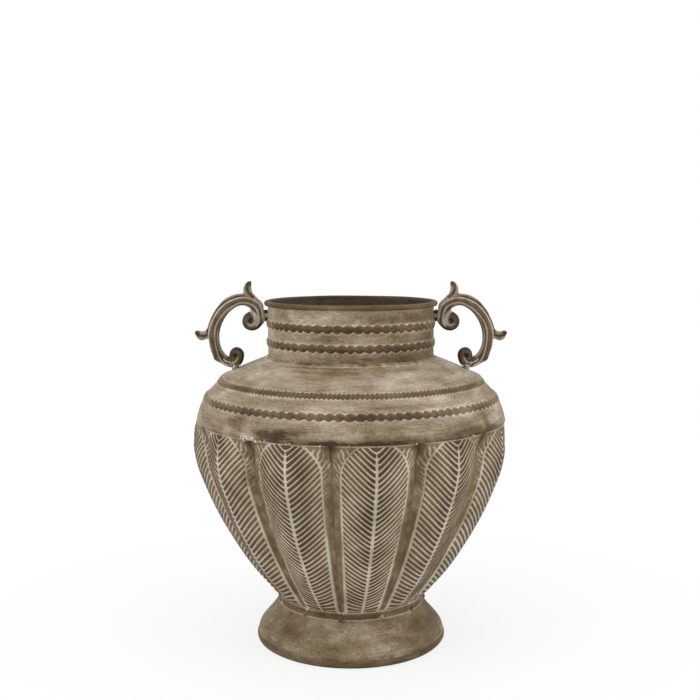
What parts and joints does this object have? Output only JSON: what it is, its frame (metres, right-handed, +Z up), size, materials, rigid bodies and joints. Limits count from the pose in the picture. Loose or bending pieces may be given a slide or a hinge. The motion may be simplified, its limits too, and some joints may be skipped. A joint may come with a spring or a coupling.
{
  "type": "urn vase",
  "caption": "Footed urn vase in sheet metal: lobed bowl of pressed leaf panels, beaded shoulder and neck, rolled rim and two scroll handles.",
  "frame": {"origin": "on the ground, on the axis of the urn, under the middle of the foot", "axes": "+Z up along the axis, handles at -X and +X, the pictured front at -Y"},
  "size_m": [0.2998, 0.2998, 0.3479],
  "materials": {
    "gore_sheet": "whitewashed antique brown, pressed relief, matt",
    "spun_sheet": "whitewashed antique brown, brushed round the axis, matt",
    "foot_sheet": "antique brown with a thin wash, matt",
    "cast_handle": "dark antique brown with pale ridges, satin",
    "edge_wire": "bare drawn wire inside the rolled edges",
    "weld": "rough weld metal under the same wash"
  },
  "bodies": {
    "root": {"gore_01": "gore_sheet", "gore_02": "gore_sheet", "gore_03": "gore_sheet", "gore_04": "gore_sheet", "gore_05": "gore_sheet", "gore_06": "gore_sheet", "gore_07": "gore_sheet", "gore_08": "gore_sheet", "gore_09": "gore_sheet", "gore_10": "gore_sheet", "gore_11": "gore_sheet", "gore_12": "gore_sheet", "shoulder": "spun_sheet", "neck": "spun_sheet", "neck_solder": "weld", "foot": "foot_sheet", "bowl_floor": "foot_sheet", "rim_wire": "edge_wire", "foot_wire": "edge_wire", "handle_right": "cast_handle", "handle_left": "cast_handle", "neck_weld_right": "weld", "neck_weld_left": "weld", "shoulder_weld_right": "weld", "shoulder_weld_left": "weld"}
  },
  "joints": []
}
